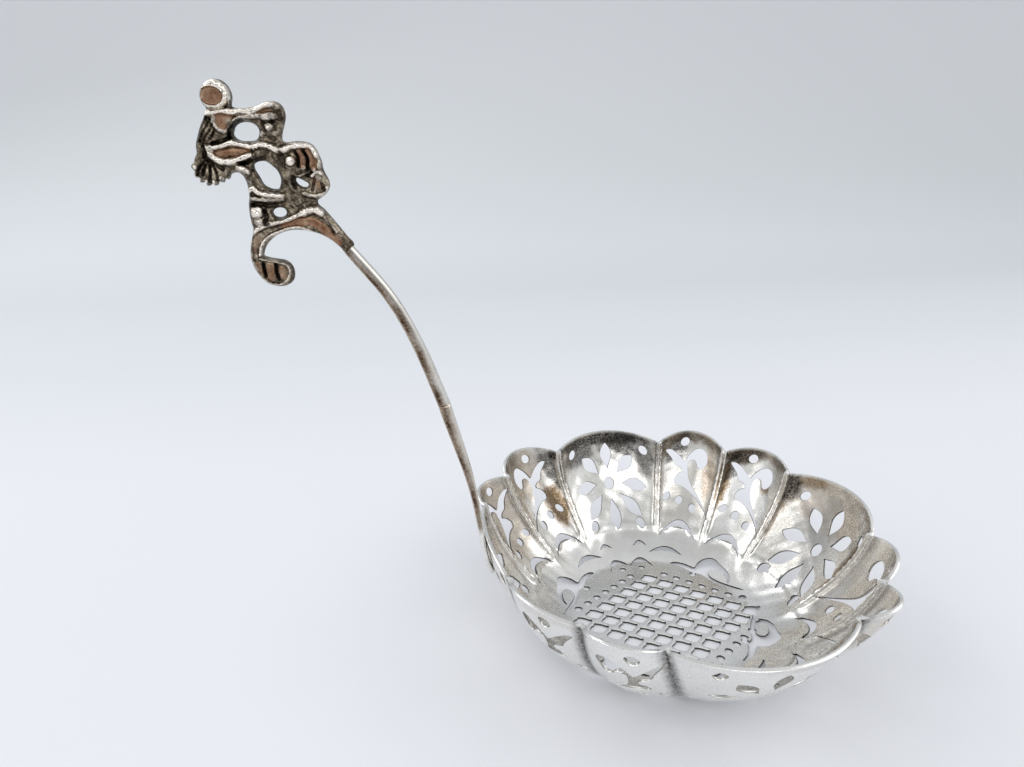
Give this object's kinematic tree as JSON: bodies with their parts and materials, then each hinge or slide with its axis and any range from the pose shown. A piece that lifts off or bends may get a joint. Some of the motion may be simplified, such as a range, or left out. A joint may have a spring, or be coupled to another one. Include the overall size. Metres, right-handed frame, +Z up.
{
  "type": "sugar sifter spoon",
  "caption": "Pierced silver sifter spoon: a fluted round bowl with flower and scroll piercing and a lattice floor, on a curved stem with a cast openwork finial and hook.",
  "frame": {"origin": "middle of the base of the box round the whole spoon, on the plane that the bowl's flat floor rests on", "axes": "+X from the finial towards the bowl, +Y across the spoon, +Z up, with the bowl's mouth facing up"},
  "size_m": [0.1136, 0.0774, 0.0956],
  "materials": {
    "bowl_silver": "polished sheet silver, lightly tarnished",
    "stem_silver": "polished drawn silver, lightly tarnished",
    "cast_silver": "cast silver with blackened recesses and worn bright edges"
  },
  "bodies": {
    "root": {"bowl": "bowl_silver", "lower_stem": "stem_silver", "upper_stem": "stem_silver", "finial": "cast_silver"}
  },
  "joints": []
}
